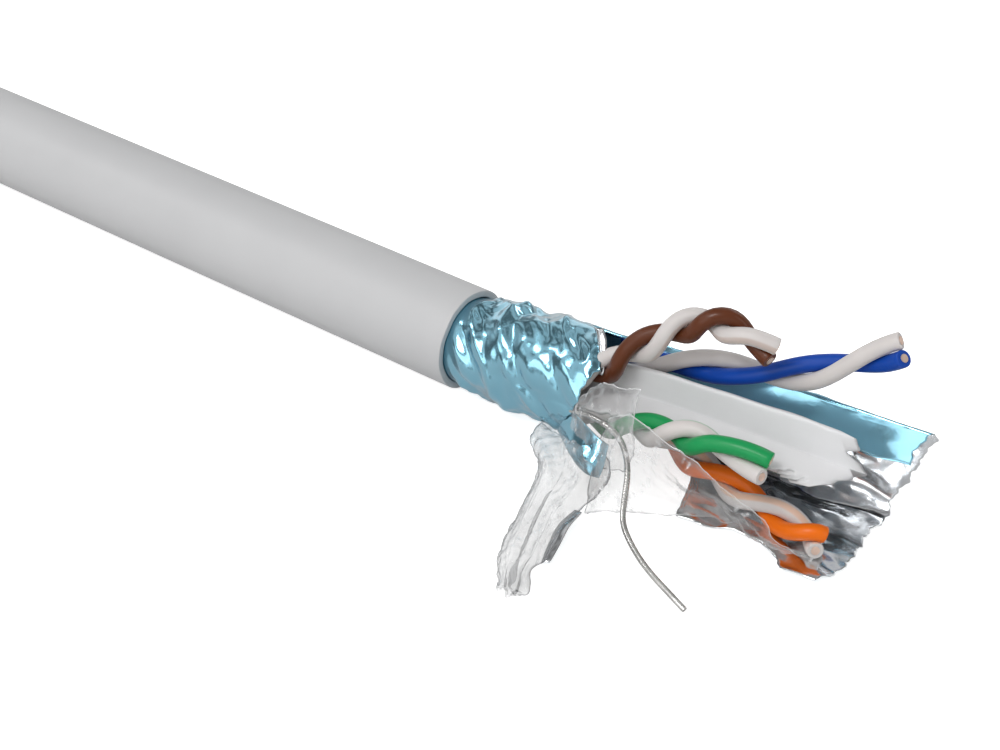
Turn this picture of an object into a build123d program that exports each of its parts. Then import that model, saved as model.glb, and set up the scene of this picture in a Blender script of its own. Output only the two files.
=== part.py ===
from build123d import *
from math import cos, pi, radians, sin, sqrt, tan
import os

# A short length of foil-shielded four-pair data cable, cut square at its tail and opened at its
# head. All dimensions are in millimetres. The design is drawn in the cable's own frame: origin at
# the centre of the jacket's head cut, +X out of the jacket along the bared core, +Z up. At the end
# every piece is moved so that the origin is under the middle of the whole, on the table.

# Lengths along the cable
jacket_length = 100.0
shield_tube_length = 9.5        # foil and film still closed into a tube past the jacket

# Wires
copper_diameter = 0.57
copper_clearance = 0.01
wire_diameter = 1.14
wire_gap = 0.02                 # between the two wires of a pair
steps_per_turn = 6
helix_corner_cut = 0.07         # how far the rounded route passes inside a helix corner
drain_diameter = 0.40

# Separator: four fins about the cable's axis
fin_thickness = 0.30
fin_tip_clearance = 0.26        # fin tip to the film's fold around the drain wire
pair_clearance = 0.015          # pair to fin, and pair to film

# Wraps and jacket
film_thickness = 0.04
film_clearance = 0.02           # film to foil, and film to drain wire
foil_thickness = 0.06
foil_clearance = 0.05           # foil to jacket
jacket_wall = 0.50

# Opened foil: a back wall with a folded hem, rounded into a sheet that lies on the table
flap_length = 26.0
flap_yaw = 5.7                  # degrees away from the cable's axis
flap_wall_top = 3.4             # above the cable's axis
flap_corner_radius = 2.2
flap_sheet_width = 10.5
flap_root_overlap = 4.5         # length of the seam with the tube
flap_root_half_height = 1.4
hem_height = 1.5
hem_gap = 0.25

# Opened film: a tongue under the tube's mouth, a slope down, and a sheet just above the table
film_tongue_length = 4.0
film_tongue_width = 1.4
film_rest_height = 0.16

# The longest run that an arc may use up, as a share of the shorter run at its corner
arc_share = 0.45

# Pairs: quadrant about the axis (Y sign, Z sign), lay length, and the free route past the shield
pairs = {
    "brown": {
        "quadrant": (-1, 1),
        "lay": 6.5,
        "route": [(13.0, -1.3, 3.9), (16.0, -0.1, 6.9), (18.6, 0.7, 8.5), (23.4, 1.0, 8.7)],
    },
    "blue": {
        "quadrant": (1, 1),
        "lay": 12.5,
        "route": [(13.5, 2.0, 2.6), (18.0, 2.6, 4.5), (24.0, 3.4, 6.3), (30.9, 4.1, 9.6)],
    },
    "green": {
        "quadrant": (-1, -1),
        "lay": 12.0,
        "route": [(15.0, -2.3, -0.3), (20.0, -3.3, 0.9), (25.8, -3.6, 2.3)],
    },
    "orange": {
        "quadrant": (1, -1),
        "lay": 10.5,
        "route": [(13.0, 1.7, -2.0), (18.0, 0.5, -2.35), (24.0, -1.2, -2.3), (29.8, -1.9, -2.3)],
    },
}
separator_route = [(15.5, 0.4, 1.65), (31.0, 0.4, 2.4)]
drain_route = [
    (13.2, -3.9, -0.1),
    (15.8, -5.2, -0.9),
    (18.0, -7.1, -1.9),
    (20.2, -9.3, -2.8),
    (22.7, -10.6, -3.4),
    (25.3, -11.3, -3.53),
]

# Torn outlines seen from above, as (X, Y)
flap_outline = [
    (8.5, 2.4),
    (14.0, 2.4),
    (19.3, -0.8),
    (20.3, -4.0),
    (24.5, -3.4),
    (28.0, -4.1),
    (30.8, -4.3),
    (31.6, -1.5),
    (31.3, 2.0),
    (32.4, 4.6),
    (33.4, 8.0),
    (8.5, 8.0),
]
film_outline = [
    (9.5, -4.8),
    (13.5, -4.0),
    (21.0, -4.2),
    (28.8, -4.0),
    (29.0, -4.9),
    (22.0, -5.6),
    (17.5, -7.4),
    (18.2, -11.5),
    (17.3, -15.6),
    (15.8, -16.3),
    (13.6, -14.8),
    (12.6, -10.5),
    (9.2, -8.2),
]

# Sizes that follow from the ones above
helix_corner_radius = (wire_diameter + wire_gap) / 2 / cos(pi / steps_per_turn)
pair_radius = helix_corner_radius + wire_diameter / 2 - helix_corner_cut
pair_offset = fin_thickness / 2 + pair_clearance + pair_radius
film_inner_radius = pair_offset * sqrt(2) + pair_radius + pair_clearance
film_outer_radius = film_inner_radius + film_thickness
foil_inner_radius = film_outer_radius + film_clearance
foil_outer_radius = foil_inner_radius + foil_thickness
jacket_inner_radius = foil_outer_radius + foil_clearance
jacket_outer_radius = jacket_inner_radius + jacket_wall
drain_offset = foil_inner_radius - drain_diameter / 2 - film_clearance / 2
groove_half_width = drain_diameter / 2 + film_clearance
fin_length = drain_offset - groove_half_width - film_thickness - fin_tip_clearance
table_height = -jacket_outer_radius


def rounded_path(name, points):
    # Straight runs joined by tangent arcs, each as large as its two runs allow
    corners = [Vector(*point) for point in points]
    radii = []
    for before, corner, after in zip(corners, corners[1:], corners[2:]):
        run_in = corner - before
        run_out = after - corner
        half_turn = radians(run_in.get_angle(run_out)) / 2
        radii.append(arc_share * min(run_in.length, run_out.length) / tan(half_turn))
    print(f"{name}: {len(radii)} arcs, radii {min(radii):.2f} to {max(radii):.2f} mm")
    return FilletPolyline(*corners, radius=radii)


def round_bar(path, diameter):
    # A round bar along a path
    section = Plane(origin=path @ 0, z_dir=path % 0) * Circle(diameter / 2)
    return sweep(section, path=path)


def check_volume(name, solid, diameter, bore, length):
    # Compares a wire's volume with its section times its length
    expected = pi / 4 * (diameter**2 - bore**2) * length
    print(f"{name}: length {length:.1f} mm, volume {solid.volume:.3f}, expected {expected:.3f} mm3")


def along_cable(section, start, end):
    # Extrudes a cross-section drawn in the Y-Z plane from one station to another
    return extrude(Plane.YZ.offset(start) * section, amount=end - start)


def pair_axis(pair):
    # The line that a pair's two wires twist about
    side, height = pair["quadrant"]
    y = side * pair_offset
    z = height * pair_offset
    straight = [(-jacket_length, y, z), (shield_tube_length, y, z)]
    return straight + pair["route"]


def helix_points(axis, lay, start_angle):
    # Corners of one wire's left-handed route, evenly spaced along the pair's axis
    step_count = round(axis.length / lay * steps_per_turn)
    points = []
    for step in range(step_count + 1):
        share = step / step_count
        along = axis % share
        side = Vector(0, 0, 1).cross(along).normalized()
        lift = along.cross(side)
        angle = start_angle - 2 * pi * step / steps_per_turn
        offset = side * cos(angle) + lift * sin(angle)
        points.append(axis @ share + offset * helix_corner_radius)
    return [tuple(point) for point in points]


def make_pair(colour, pair):
    # Two insulated wires, each with its copper core
    nodes = {}
    axis = rounded_path(f"{colour} pair axis", pair_axis(pair))
    for wire_name, start_angle in ((colour, 0.0), (f"white_{colour}", pi)):
        path = rounded_path(wire_name, helix_points(axis, pair["lay"], start_angle))
        bore = copper_diameter + 2 * copper_clearance
        insulation = round_bar(path, wire_diameter) - round_bar(path, bore)
        core = round_bar(path, copper_diameter)
        check_volume(f"{wire_name} insulation", insulation, wire_diameter, bore, path.length)
        check_volume(f"{wire_name} copper", core, copper_diameter, 0, path.length)
        nodes[f"{wire_name}_insulation"] = insulation
        nodes[f"{wire_name}_copper"] = core
    return nodes


def make_jacket():
    ring = Circle(jacket_outer_radius) - Circle(jacket_inner_radius)
    return along_cable(ring, -jacket_length, 0)


def make_separator():
    # A cross-shaped strip, straight in the jacket and lifted a little where it is bare
    straight = [(-jacket_length, 0, 0), (shield_tube_length, 0, 0)]
    path = rounded_path("cross separator", straight + separator_route)
    span = 2 * fin_length
    cross = Rectangle(span, fin_thickness) + Rectangle(fin_thickness, span)
    return sweep(Plane.YZ.offset(-jacket_length) * cross, path=path)


def make_drain_wire():
    straight = [(-jacket_length, -drain_offset, 0), (shield_tube_length, -drain_offset, 0)]
    path = rounded_path("drain wire", straight + drain_route)
    wire = round_bar(path, drain_diameter)
    check_volume("drain wire", wire, drain_diameter, 0, path.length)
    return wire


def drain_groove(half_width):
    # The fold in the film that the drain wire lies in, open towards the foil
    mouth = Pos(-drain_offset - half_width, 0) * Rectangle(2 * half_width, 2 * half_width)
    return Pos(-drain_offset, 0) * Circle(half_width) + mouth


def make_film():
    outside = Circle(film_outer_radius) - drain_groove(groove_half_width)
    inside = Circle(film_inner_radius) - drain_groove(groove_half_width + film_thickness)
    tube = along_cable(outside - inside, -jacket_length, shield_tube_length)

    # Tongue: the lowest part of the wrap, left standing past the tube's mouth
    tongue_end = shield_tube_length + film_tongue_length
    ring = Circle(film_outer_radius) - Circle(film_inner_radius)
    window = Pos(-film_tongue_width / 2, -film_outer_radius) * Rectangle(film_tongue_width, film_outer_radius)
    overlap = film_thickness
    tongue = along_cable(ring & window, shield_tube_length - overlap, tongue_end)

    # Slope: from the tongue's front edge down to the sheet
    sheet_top = table_height + film_rest_height + film_thickness
    start_y = -film_tongue_width + film_thickness
    start_z = -sqrt(film_inner_radius**2 - start_y**2)
    middle = (start_y - 2.0, (start_z + 2 * sheet_top) / 3)
    upper = [(start_y, start_z), middle, (-5.0, sheet_top)]
    lower = [(y, z - film_thickness) for y, z in reversed(upper)]
    slope = along_cable(make_face(Polyline(*upper, *lower, close=True)), shield_tube_length, tongue_end)

    # Sheet: a leg towards the front and a strip along the cable
    sheet_plane = Plane.XY.offset(sheet_top - film_thickness)
    outline = make_face(Polyline(*film_outline, close=True))
    sheet = extrude(sheet_plane * outline, amount=film_thickness)
    return tube + tongue + slope + sheet


def flap_section():
    # Hem, back wall, rounded corner and table sheet, as (Y, Z) in the flap's own frame
    wall_centre = foil_outer_radius - foil_thickness / 2
    wall_bottom = table_height + flap_corner_radius
    wall_height = flap_wall_top - wall_bottom
    wall = Pos(wall_centre, wall_bottom + wall_height / 2) * Rectangle(foil_thickness, wall_height)

    hem_pitch = foil_thickness + hem_gap
    hem = Pos(wall_centre - hem_pitch, flap_wall_top - hem_height / 2) * Rectangle(foil_thickness, hem_height)
    fold_centre = (wall_centre - hem_pitch / 2, flap_wall_top - foil_thickness / 2)
    fold = Pos(*fold_centre) * Rectangle(hem_pitch + foil_thickness, foil_thickness)

    corner_y = foil_outer_radius - flap_corner_radius
    ring = Circle(flap_corner_radius) - Circle(flap_corner_radius - foil_thickness)
    half = flap_corner_radius / 2
    window = Pos(half, -half) * Rectangle(flap_corner_radius, flap_corner_radius)
    corner = Pos(corner_y, wall_bottom) * (ring & window)

    sheet_centre = (corner_y - flap_sheet_width / 2, table_height + foil_thickness / 2)
    sheet = Pos(*sheet_centre) * Rectangle(flap_sheet_width, foil_thickness)
    return wall + hem + fold + corner + sheet


def make_foil():
    ring = Circle(foil_outer_radius) - Circle(foil_inner_radius)
    tube = along_cable(ring, -jacket_length, shield_tube_length)

    # Seam: the tube's rearmost line, flattened into the flap's back wall
    root_start = shield_tube_length - flap_root_overlap
    wall_centre = foil_outer_radius - foil_thickness / 2
    root_section = Pos(wall_centre, 0) * Rectangle(foil_thickness, 2 * flap_root_half_height)
    root = along_cable(root_section, root_start, shield_tube_length)

    # Flap: turned away from the cable about its seam, then cut to its torn outline
    overlap = foil_thickness
    flap = along_cable(flap_section(), shield_tube_length - overlap, shield_tube_length + flap_length)
    seam = Axis((shield_tube_length, wall_centre, 0), (0, 0, 1))
    flap = flap.rotate(seam, flap_yaw)
    outline = make_face(Polyline(*flap_outline, close=True))
    cutter = extrude(Plane.XY.offset(table_height) * outline, amount=flap_wall_top - table_height)
    return tube + root + (flap & cutter)


def main():
    nodes = {
        "outer_jacket": make_jacket(),
        "foil_shield": make_foil(),
        "clear_film": make_film(),
        "cross_separator": make_separator(),
        "drain_wire": make_drain_wire(),
    }
    for colour, pair in pairs.items():
        nodes.update(make_pair(colour, pair))

    # Origin under the middle of the whole, on the table
    boxes = [solid.bounding_box() for solid in nodes.values()]
    low_x = min(box.min.X for box in boxes)
    high_x = max(box.max.X for box in boxes)
    low_y = min(box.min.Y for box in boxes)
    high_y = max(box.max.Y for box in boxes)
    shift = Pos(-(low_x + high_x) / 2, -(low_y + high_y) / 2, -table_height)
    print(f"jacket radius {jacket_outer_radius:.3f} mm, head cut at X {-(low_x + high_x) / 2:.3f},"
          f" Y {-(low_y + high_y) / 2:.3f} mm")

    os.makedirs("parts", exist_ok=True)
    for name, solid in nodes.items():
        export_step(shift * solid, f"parts/{name}.step")


main()
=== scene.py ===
import math

import bpy
import numpy as np
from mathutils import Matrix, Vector


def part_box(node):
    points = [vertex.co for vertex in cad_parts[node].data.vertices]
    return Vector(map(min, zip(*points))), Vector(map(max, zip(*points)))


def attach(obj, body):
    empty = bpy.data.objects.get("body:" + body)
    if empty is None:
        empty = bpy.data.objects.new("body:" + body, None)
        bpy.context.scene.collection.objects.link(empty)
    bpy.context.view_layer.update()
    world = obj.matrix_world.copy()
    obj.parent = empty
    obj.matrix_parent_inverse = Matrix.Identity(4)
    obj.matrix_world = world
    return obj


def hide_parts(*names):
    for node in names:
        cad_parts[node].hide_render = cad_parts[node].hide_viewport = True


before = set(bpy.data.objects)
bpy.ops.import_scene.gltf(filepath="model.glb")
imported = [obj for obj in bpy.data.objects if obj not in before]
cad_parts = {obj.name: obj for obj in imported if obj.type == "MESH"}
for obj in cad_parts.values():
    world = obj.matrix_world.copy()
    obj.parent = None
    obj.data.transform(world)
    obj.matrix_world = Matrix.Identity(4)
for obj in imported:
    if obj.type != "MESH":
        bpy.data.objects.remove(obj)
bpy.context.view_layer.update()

# Every place below is in metres from the middle of the jacket's head cut: X out along the bared
# core, Z up. The table is one jacket radius lower.
jacketLow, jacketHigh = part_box("outer_jacket")
headCut = np.array([
    jacketHigh.x, (jacketLow.y + jacketHigh.y) / 2, (jacketLow.z + jacketHigh.z) / 2])
jacketRadius = (jacketHigh.z - jacketLow.z) / 2
cableLength = jacketHigh.x - jacketLow.x
mm = 0.001
shieldEnd = 0.0095               # where the wires leave the shield


# Helpers for meshes, curves and node trees

def link(piece):
    bpy.context.scene.collection.objects.link(piece)
    return piece


def normalised(vectors):
    return vectors / np.linalg.norm(vectors, axis=-1, keepdims=True)


def smoothStep(value, low, high):
    share = np.clip((value - low) / (high - low), 0, 1)
    return share * share * (3 - 2 * share)


def routeCurve(name, points):
    # One open NURBS spline with the route's points as its control points
    curve = bpy.data.curves.new(name, "CURVE")
    curve.dimensions = "3D"
    spline = curve.splines.new("NURBS")
    spline.points.add(len(points) - 1)
    for control, place in zip(spline.points, points):
        control.co = (*(np.array(place) + headCut), 1)
    spline.order_u = 3
    spline.use_endpoint_u = True
    spline.resolution_u = 48
    curve.resolution_u = 48
    return link(bpy.data.objects.new(name, curve))


def routeLine(curveObject):
    # The points along a route that has no bevel
    mesh = bpy.data.meshes.new_from_object(curveObject)
    line = np.array([vertex.co for vertex in mesh.vertices])
    bpy.data.meshes.remove(mesh)
    return line


def evenly(line, spacing):
    # The same line with even steps, and the distance along it at each step
    steps = np.linalg.norm(np.diff(line, axis=0), axis=1)
    along = np.concatenate([[0], np.cumsum(steps)])
    at = np.linspace(0, along[-1], round(along[-1] / spacing) + 1)
    return np.stack([np.interp(at, along, line[:, axis]) for axis in range(3)], 1), at


def sheetFaces(rows, columns, closed=False, start=0):
    # Quads between the points of a grid, which may close on itself from column to column
    last = columns if closed else columns - 1
    row, column = np.meshgrid(np.arange(rows - 1), np.arange(last), indexing="ij")
    following = (column + 1) % columns
    corners = [row * columns + column, (row + 1) * columns + column,
               (row + 1) * columns + following, row * columns + following]
    return (np.stack(corners, -1).reshape(-1, 4) + start).tolist()


def meshObject(name, points, faces, materials):
    mesh = bpy.data.meshes.new(name)
    mesh.from_pydata([tuple(point) for point in np.asarray(points) + headCut], [], faces)
    mesh.validate()
    for material in materials:
        mesh.materials.append(material)
    mesh.polygons.foreach_set("use_smooth", [True] * len(mesh.polygons))
    return link(bpy.data.objects.new(name, mesh))


def applied(piece):
    # Turns the piece and its modifiers into a plain mesh
    depsgraph = bpy.context.evaluated_depsgraph_get()
    made = bpy.data.meshes.new_from_object(
        piece.evaluated_get(depsgraph), preserve_all_data_layers=True, depsgraph=depsgraph)
    piece.modifiers.clear()
    piece.data = made
    return piece


def thicken(piece, thickness, innerSlot=0):
    wall = piece.modifiers.new("wall", "SOLIDIFY")
    wall.thickness = thickness
    wall.offset = -1.0
    wall.material_offset = innerSlot
    wall.material_offset_rim = innerSlot
    return applied(piece)


def foldHeight(points, seed, longest, shortest, count, warp=0.35):
    # Creased height from -1 to 1: triangle waves in random directions, bent by slow waves
    weight = 0.9                 # longer waves are higher
    rng = np.random.default_rng(seed)
    height = np.zeros(points.shape[:-1])
    total = 0.0
    for index in range(count):
        length = longest * (shortest / longest) ** (index / max(1, count - 1))
        direction, bend = normalised(rng.normal(size=(2, 3)))
        slow = points @ bend * 2 * math.pi / (longest * rng.uniform(1.1, 2.2))
        phase = points @ direction / length + warp * np.sin(slow + rng.uniform(0, 6.28))
        phase = phase + rng.uniform()
        wave = 4 * np.abs(phase - np.floor(phase + 0.5)) - 1
        height += wave * length ** weight
        total += length ** weight
    return height / total


class Link:
    # A socket that adds a Math node when it is used in an expression
    def __init__(self, graph, socket):
        self.graph = graph
        self.socket = socket

    def math(self, operation, *others):
        sockets = dict(enumerate((self, *others)))
        return self.graph.add("ShaderNodeMath", {"operation": operation}, sockets)[0]

    def __add__(self, other):
        return self.math("ADD", other)

    def __radd__(self, other):
        return self.math("ADD", other)

    def __mul__(self, other):
        return self.math("MULTIPLY", other)

    def __pow__(self, other):
        return self.math("POWER", other)


class Made:
    # A node's outputs, by name or by number
    def __init__(self, graph, node):
        self.graph = graph
        self.node = node

    def __getitem__(self, key):
        return Link(self.graph, self.node.outputs[key])


class Graph:
    # Adds nodes to one tree: settings first, then the values or links of their sockets
    def __init__(self, tree):
        self.tree = tree

    def add(self, kind, settings=None, sockets=None):
        node = self.tree.nodes.new(kind)
        for key, value in (settings or {}).items():
            setattr(node, key, value)
        for key, value in (sockets or {}).items():
            if isinstance(value, Link):
                self.tree.links.new(value.socket, node.inputs[key])
            else:
                node.inputs[key].default_value = value
        return Made(self, node)

    def mixColour(self, share, first, second):
        sockets = {0: share, 6: first, 7: second}
        return self.add("ShaderNodeMix", {"data_type": "RGBA"}, sockets)[2]

    def noise(self, place, scale, detail=2.0, roughness=0.5, distortion=0.0):
        sockets = {"Vector": place, "Scale": scale, "Detail": detail,
                   "Roughness": roughness, "Distortion": distortion}
        return self.add("ShaderNodeTexNoise", None, sockets)["Fac"]

    def ramp(self, factor, low, high, lowValue=0.0, highValue=1.0):
        sockets = {0: factor, 1: low, 2: high, 3: lowValue, 4: highValue}
        return self.add("ShaderNodeMapRange", {"interpolation_type": "SMOOTHSTEP"}, sockets)[0]

    def bump(self, height, strength, distance):
        sockets = {"Height": height, "Strength": strength, "Distance": distance}
        return self.add("ShaderNodeBump", None, sockets)["Normal"]

    def stretched(self, place, scale):
        return self.add("ShaderNodeMapping", None, {"Vector": place, "Scale": scale})["Vector"]


def newMaterial(name):
    # An empty material, its graph, and Object coordinates in it
    material = bpy.data.materials.new(name)
    material.use_nodes = True
    material.node_tree.nodes.clear()
    graph = Graph(material.node_tree)
    return material, graph, graph.add("ShaderNodeTexCoord")["Object"]


def finishMaterial(graph, shader):
    graph.add("ShaderNodeOutputMaterial", None, {"Surface": shader})


def grey(value):
    return (value, value, value, 1.0)


# Camera, table and lights

cameraSettings = {
    "lens": 68.28,
    "sensor": 36.0,
    "place": (0.06872, -0.08761, 0.07722),
    "back": (0.489, -0.647, 0.585),
    "nearest": 0.005,
    "farthest": 20.0,
}
tableSettings = {
    "halfSize": 3.0,
    "colour": 0.66,
    "mottle": 0.01,
    "glow": 0.80,
}
lightSettings = {
    "skyLow": 0.66,
    "skyHigh": 0.42,
    "skyTop": 0.7,
    # Soft light and dark patches, as from panels round a studio
    "patchScale": 3.2,
    "patchFrom": 0.44,
    "patchTo": 0.58,
    "patchDim": 0.26,
    "patchBright": 1.75,
    "lamps": [
        # name, place, aim, width, height, watts
        ("keyBox", (0.00, -0.28, 0.40), (-0.01, 0.0, 0.0), 0.20, 0.14, 1.10),
        ("lowBox", (-0.10, -0.44, 0.18), (0.01, 0.0, 0.0), 0.40, 0.18, 0.38),
        ("stripLeft", (-0.26, -0.10, 0.26), (0.01, 0.0, 0.0), 0.02, 0.16, 0.14),
        ("stripBack", (0.06, 0.36, 0.20), (0.01, 0.0, 0.0), 0.24, 0.03, 0.22),
        ("stripRight", (0.38, 0.04, 0.22), (0.01, 0.0, 0.0), 0.02, 0.16, 0.16),
    ],
}


def makeCamera():
    data = bpy.data.cameras.new("studioCamera")
    data.lens = cameraSettings["lens"]
    data.sensor_width = cameraSettings["sensor"]
    data.clip_start = cameraSettings["nearest"]
    data.clip_end = cameraSettings["farthest"]
    camera = link(bpy.data.objects.new("studioCamera", data))
    camera.location = headCut + np.array(cameraSettings["place"])
    camera.rotation_euler = (-Vector(cameraSettings["back"])).to_track_quat("-Z", "Y").to_euler()
    bpy.context.scene.camera = camera
    bpy.context.scene.view_settings.view_transform = "Standard"


def makeTable():
    half = tableSettings["halfSize"]
    material, graph, place = newMaterial("paleTable")
    cloud = graph.noise(place, 6.0, 3.0)
    colour, mottle = tableSettings["colour"], tableSettings["mottle"]
    base = graph.mixColour(cloud, grey(colour - mottle), grey(colour + mottle))
    # The glow lifts the table to white without lighting the cable
    seen = graph.add("ShaderNodeLightPath")["Is Camera Ray"]
    glow = graph.mixColour(seen, grey(0.0), grey(tableSettings["glow"]))
    shader = graph.add("ShaderNodeBsdfPrincipled", None, {
        "Base Color": base, "Roughness": 0.9, "Specular IOR Level": 0.1,
        "Emission Color": glow, "Emission Strength": 1.0})
    finishMaterial(graph, shader["BSDF"])
    down = -headCut[2]
    corners = [(-half, -half, down), (half, -half, down), (half, half, down), (-half, half, down)]
    meshObject("paleTable", corners, [(0, 1, 2, 3)], [material])


def makeLights():
    world = bpy.data.worlds.new("studio")
    world.use_nodes = True
    world.node_tree.nodes.clear()
    bpy.context.scene.world = world
    graph = Graph(world.node_tree)
    direction = graph.add("ShaderNodeTexCoord")["Generated"]
    height = graph.add("ShaderNodeSeparateXYZ", None, {0: direction})[2]
    s = lightSettings
    sky = graph.ramp(height, 0.0, s["skyTop"], s["skyLow"], s["skyHigh"])
    patch = graph.noise(direction, s["patchScale"], 1.0)
    sky = sky * graph.ramp(patch, s["patchFrom"], s["patchTo"], s["patchDim"], s["patchBright"])
    background = graph.add("ShaderNodeBackground", None, {"Color": grey(1.0), "Strength": sky})
    graph.add("ShaderNodeOutputWorld", None, {"Surface": background["Background"]})
    for name, place, aim, width, height, watts in s["lamps"]:
        data = bpy.data.lights.new(name, "AREA")
        data.shape = "RECTANGLE"
        data.size = width
        data.size_y = height
        data.energy = watts
        lamp = link(bpy.data.objects.new(name, data))
        lamp.location = headCut + np.array(place)
        lamp.rotation_euler = (Vector(aim) - Vector(place)).to_track_quat("-Z", "Y").to_euler()


makeCamera()
makeTable()
makeLights()
print("camera, table and lights are in place")


# Finishes

def jacketFinish():
    # Matt grey vinyl with faint draw lines along the cable
    material, graph, place = newMaterial("greyVinyl")
    lines = graph.noise(graph.stretched(place, (0.02, 1.0, 1.0)), 2600.0, 3.0)
    cloud = graph.noise(place, 160.0, 4.0)
    grain = graph.noise(place, 9000.0, 2.0)
    tone = graph.mixColour(cloud, (0.480, 0.482, 0.490, 1.0), (0.525, 0.527, 0.533, 1.0))
    tone = graph.mixColour(lines * 0.05, tone, grey(0.5))
    shader = graph.add("ShaderNodeBsdfPrincipled", None, {
        "Base Color": tone, "Roughness": 0.40 + cloud * 0.10, "Specular IOR Level": 0.45,
        "Normal": graph.bump(lines * 0.5 + grain * 0.5, 0.12, 0.00006)})
    finishMaterial(graph, shader["BSDF"])
    return material


def foilFinish(name, colour, coat, roughness):
    # Rolled metal film: hard small creases, a cloudy gloss and fine rolling lines
    material, graph, place = newMaterial(name)
    warp = graph.noise(place, 420.0, 3.0, 0.6, 0.4)
    creases = graph.add("ShaderNodeTexVoronoi", {"feature": "DISTANCE_TO_EDGE"}, {
        "Vector": place, "Scale": 900.0})["Distance"]
    crease = graph.ramp(creases, 0.0, 0.10, 1.0, 0.0)
    cloud = graph.noise(place, 700.0, 3.0)
    rolling = graph.noise(graph.stretched(place, (0.05, 1.0, 1.0)), 9000.0, 2.0)
    dull = tuple(channel * 0.86 for channel in colour[:3]) + (1.0,)
    tone = graph.mixColour(cloud, dull, colour)
    shader = graph.add("ShaderNodeBsdfPrincipled", None, {
        "Base Color": tone, "Metallic": 1.0, "Roughness": roughness + cloud * 0.10,
        "Coat Weight": coat, "Coat Roughness": 0.04,
        "Normal": graph.bump(warp + crease * 0.08 + rolling * 0.03, 0.16, 0.00010)})
    finishMaterial(graph, shader["BSDF"])
    return material


def filmFinish():
    # Clear polyester film: a thin grey veil with painted shade where it turns edge on, painted
    # highlight lines along the edge mark, and hard glints
    material, graph, place = newMaterial("clearFilm")
    wrinkle = graph.noise(graph.stretched(place, (0.6, 1.0, 1.0)), 620.0, 4.0, 0.6, 0.8)
    haze = graph.noise(place, 300.0, 3.0)
    edge = graph.add("ShaderNodeAttribute", {"attribute_name": "edge"})["Fac"]
    normal = graph.bump(wrinkle, 0.45, 0.00018)
    facing = graph.add("ShaderNodeLayerWeight", None, {"Blend": 0.35, "Normal": normal})["Facing"]
    # The edge mark makes creases and rims opaque, so they show as painted highlight lines
    cover = 0.05 + (facing ** 2.0) * 0.80 + graph.ramp(haze, 0.50, 0.75) * 0.07 + edge * 0.55
    # Painted shade: the tone goes dark grey where the film turns edge on, drawing its outline
    turned = graph.ramp(facing, 0.30, 0.80)
    tone = graph.mixColour(turned, (0.88, 0.89, 0.90, 1.0), (0.24, 0.25, 0.26, 1.0))
    clear = graph.add("ShaderNodeBsdfTransparent", None, {"Color": grey(0.945)})
    gloss = graph.add("ShaderNodeBsdfPrincipled", None, {
        "Base Color": tone, "Roughness": 0.05 + haze * 0.07, "Specular IOR Level": 1.0,
        "Normal": normal})
    shader = graph.add("ShaderNodeMixShader", None, {0: cover, 1: clear["BSDF"], 2: gloss["BSDF"]})
    finishMaterial(graph, shader["Shader"])
    return material


def separatorFinish():
    # Milky polyethylene, a little glossy, with drawn streaks
    material, graph, place = newMaterial("milkyPolyethylene")
    streaks = graph.noise(graph.stretched(place, (0.06, 1.0, 1.0)), 1500.0, 3.0)
    cloud = graph.noise(place, 240.0, 3.0)
    tone = graph.mixColour(cloud, (0.63, 0.63, 0.64, 1.0), (0.72, 0.72, 0.73, 1.0))
    tone = graph.mixColour(streaks * 0.18, tone, (0.80, 0.80, 0.81, 1.0))
    shader = graph.add("ShaderNodeBsdfPrincipled", None, {
        "Base Color": tone, "Roughness": 0.30 + streaks * 0.15, "Specular IOR Level": 0.5,
        "Subsurface Weight": 0.35, "Subsurface Radius": (1.0, 1.0, 1.0), "Subsurface Scale": 0.0007,
        "Normal": graph.bump(streaks + cloud * 0.5, 0.20, 0.00012)})
    finishMaterial(graph, shader["BSDF"])
    return material


def wireFinish(name, colour, stripe=None, soft=0.0):
    # Solid polyolefin insulation, with a faint stripe along the white wire of a pair
    material, graph, place = newMaterial(name)
    cloud = graph.noise(place, 520.0, 3.0)
    speck = graph.noise(place, 5200.0, 2.0)
    deep = tuple(channel * 0.88 for channel in colour) + (1.0,)
    tone = graph.mixColour(cloud, deep, (*colour, 1.0))
    if stripe:
        section = graph.add("ShaderNodeAttribute", {"attribute_name": "section"})["Vector"]
        across = graph.add("ShaderNodeSeparateXYZ", None, {0: section})[0]
        band = graph.ramp(across, 0.84, 0.97) * (0.20 + cloud * 0.45)
        tone = graph.mixColour(band, tone, (*stripe, 1.0))
    shader = graph.add("ShaderNodeBsdfPrincipled", None, {
        "Base Color": tone, "Roughness": 0.26 + cloud * 0.14, "Specular IOR Level": 0.30,
        "Subsurface Weight": soft, "Subsurface Radius": (1.0, 0.9, 0.8), "Subsurface Scale": 0.0004,
        "Normal": graph.bump(speck + cloud * 2.0, 0.10, 0.00008)})
    finishMaterial(graph, shader["BSDF"])
    return material


def metalFinish(name, colour, roughness, grainScale):
    # Drawn wire: fine lines along it and slight tarnish
    material, graph, place = newMaterial(name)
    tarnish = graph.noise(place, 900.0, 3.0)
    grain = graph.noise(place, grainScale, 2.0)
    dark = tuple(channel * 0.72 for channel in colour) + (1.0,)
    tone = graph.mixColour(graph.ramp(tarnish, 0.35, 0.75), (*colour, 1.0), dark)
    shader = graph.add("ShaderNodeBsdfPrincipled", None, {
        "Base Color": tone, "Metallic": 1.0, "Roughness": roughness + tarnish * 0.15,
        "Normal": graph.bump(grain, 0.06, 0.00003)})
    finishMaterial(graph, shader["BSDF"])
    return material


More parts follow.
